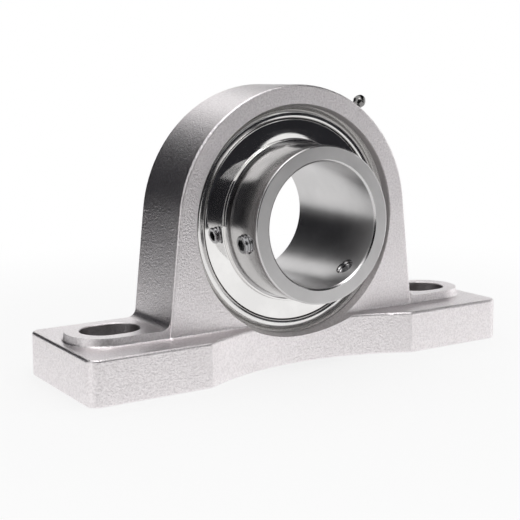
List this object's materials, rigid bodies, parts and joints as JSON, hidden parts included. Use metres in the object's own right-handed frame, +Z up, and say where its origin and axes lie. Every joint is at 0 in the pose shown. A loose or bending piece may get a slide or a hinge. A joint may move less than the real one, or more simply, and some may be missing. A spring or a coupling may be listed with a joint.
{
  "type": "pillow block bearing",
  "caption": "Cast foot-mounted housing with a self-aligning insert ball bearing, set-screw locking, slinger shields and a grease nipple.",
  "frame": {"origin": "middle of the base's underside, straight below the bearing's centre", "axes": "+X along the base; +Z up; the shaft runs along Y, with the set-screw end of the inner ring towards -Y"},
  "size_m": [0.235, 0.075, 0.1352],
  "materials": {
    "casting": "blasted",
    "nipple": "dark polished",
    "bearing_steel": "polished",
    "spring_steel": "drawn",
    "ring_steel": "ground",
    "cage_steel": "pressed",
    "rivet_steel": "satin",
    "seal_rubber": "matte",
    "seal_steel": "satin",
    "polished_steel": "polished",
    "screw_steel": "satin"
  },
  "bodies": {
    "housing": {"housing": "casting", "nipple_body": "nipple", "nipple_spring": "spring_steel"},
    "nipple_valve": {"nipple_valve_ball": "bearing_steel"},
    "insert": {"outer_ring": "ring_steel", "seal_rubber_front": "seal_rubber", "seal_rubber_rear": "seal_rubber", "seal_core_front": "seal_steel", "seal_core_rear": "seal_steel"},
    "cage": {"cage_front": "cage_steel", "cage_rear": "cage_steel", "cage_rivets": "rivet_steel"},
    "inner": {"inner_ring": "ring_steel", "slinger_front": "polished_steel", "slinger_rear": "polished_steel"},
    "screw_a": {"set_screw_a": "screw_steel"},
    "screw_b": {"set_screw_b": "screw_steel"},
    "rolling_ball_01": {"ball_01": "bearing_steel"},
    "rolling_ball_02": {"ball_02": "bearing_steel"},
    "rolling_ball_03": {"ball_03": "bearing_steel"},
    "rolling_ball_04": {"ball_04": "bearing_steel"},
    "rolling_ball_05": {"ball_05": "bearing_steel"},
    "rolling_ball_06": {"ball_06": "bearing_steel"},
    "rolling_ball_07": {"ball_07": "bearing_steel"},
    "rolling_ball_08": {"ball_08": "bearing_steel"},
    "rolling_ball_09": {"ball_09": "bearing_steel"},
    "rolling_ball_10": {"ball_10": "bearing_steel"}
  },
  "joints": [
    {"name": "insert_align", "type": "hinge", "parent": "housing", "child": "insert", "pos_m": [0, 0, 0.0698], "axis": [1, 0, 0], "range_deg": [-2.5, 2.5]},
    {"name": "shaft_spin", "type": "hinge", "parent": "insert", "child": "inner", "pos_m": [0, 0, 0.0698], "axis": [0, 1, 0], "continuous": true},
    {"name": "cage_orbit", "type": "hinge", "parent": "insert", "child": "cage", "pos_m": [0, 0, 0.0698], "axis": [0, 1, 0], "continuous": true},
    {"name": "ball_01_roll", "type": "hinge", "parent": "cage", "child": "rolling_ball_01", "pos_m": [0.04275, 0, 0.0698], "axis": [0, 1, 0], "continuous": true},
    {"name": "ball_02_roll", "type": "hinge", "parent": "cage", "child": "rolling_ball_02", "pos_m": [0.03459, 0, 0.09493], "axis": [0, 1, 0], "continuous": true},
    {"name": "ball_03_roll", "type": "hinge", "parent": "cage", "child": "rolling_ball_03", "pos_m": [0.01321, 0, 0.11046], "axis": [0, 1, 0], "continuous": true},
    {"name": "ball_04_roll", "type": "hinge", "parent": "cage", "child": "rolling_ball_04", "pos_m": [-0.01321, 0, 0.11046], "axis": [0, 1, 0], "continuous": true},
    {"name": "ball_05_roll", "type": "hinge", "parent": "cage", "child": "rolling_ball_05", "pos_m": [-0.03459, 0, 0.09493], "axis": [0, 1, 0], "continuous": true},
    {"name": "ball_06_roll", "type": "hinge", "parent": "cage", "child": "rolling_ball_06", "pos_m": [-0.04275, 0, 0.0698], "axis": [0, 1, 0], "continuous": true},
    {"name": "ball_07_roll", "type": "hinge", "parent": "cage", "child": "rolling_ball_07", "pos_m": [-0.03459, 0, 0.04467], "axis": [0, 1, 0], "continuous": true},
    {"name": "ball_08_roll", "type": "hinge", "parent": "cage", "child": "rolling_ball_08", "pos_m": [-0.01321, 0, 0.02914], "axis": [0, 1, 0], "continuous": true},
    {"name": "ball_09_roll", "type": "hinge", "parent": "cage", "child": "rolling_ball_09", "pos_m": [0.01321, 0, 0.02914], "axis": [0, 1, 0], "continuous": true},
    {"name": "ball_10_roll", "type": "hinge", "parent": "cage", "child": "rolling_ball_10", "pos_m": [0.03459, 0, 0.04467], "axis": [0, 1, 0], "continuous": true},
    {"name": "set_screw_a_travel", "type": "slide", "parent": "inner", "child": "screw_a", "axis": [-0.9833, 0, -0.1822], "range_m": [-0.002, 0.003]},
    {"name": "set_screw_b_travel", "type": "slide", "parent": "inner", "child": "screw_b", "axis": [0.6494, 0, -0.7604], "range_m": [-0.002, 0.003]},
    {"name": "nipple_valve_travel", "type": "slide", "parent": "housing", "child": "nipple_valve", "axis": [-0.6691, 0, -0.7431], "range_m": [0, 0.0007], "stiffness_N_per_m": 300, "springref_m": -0.0005, "deforming": ["nipple_spring"]}
  ],
  "couplings": [
    {"joint": "cage_orbit", "follows": "shaft_spin", "ratio": 0.40716},
    {"joint": "ball_01_roll", "follows": "shaft_spin", "ratio": -2.6001},
    {"joint": "ball_02_roll", "follows": "shaft_spin", "ratio": -2.6001},
    {"joint": "ball_03_roll", "follows": "shaft_spin", "ratio": -2.6001},
    {"joint": "ball_04_roll", "follows": "shaft_spin", "ratio": -2.6001},
    {"joint": "ball_05_roll", "follows": "shaft_spin", "ratio": -2.6001},
    {"joint": "ball_06_roll", "follows": "shaft_spin", "ratio": -2.6001},
    {"joint": "ball_07_roll", "follows": "shaft_spin", "ratio": -2.6001},
    {"joint": "ball_08_roll", "follows": "shaft_spin", "ratio": -2.6001},
    {"joint": "ball_09_roll", "follows": "shaft_spin", "ratio": -2.6001},
    {"joint": "ball_10_roll", "follows": "shaft_spin", "ratio": -2.6001}
  ]
}
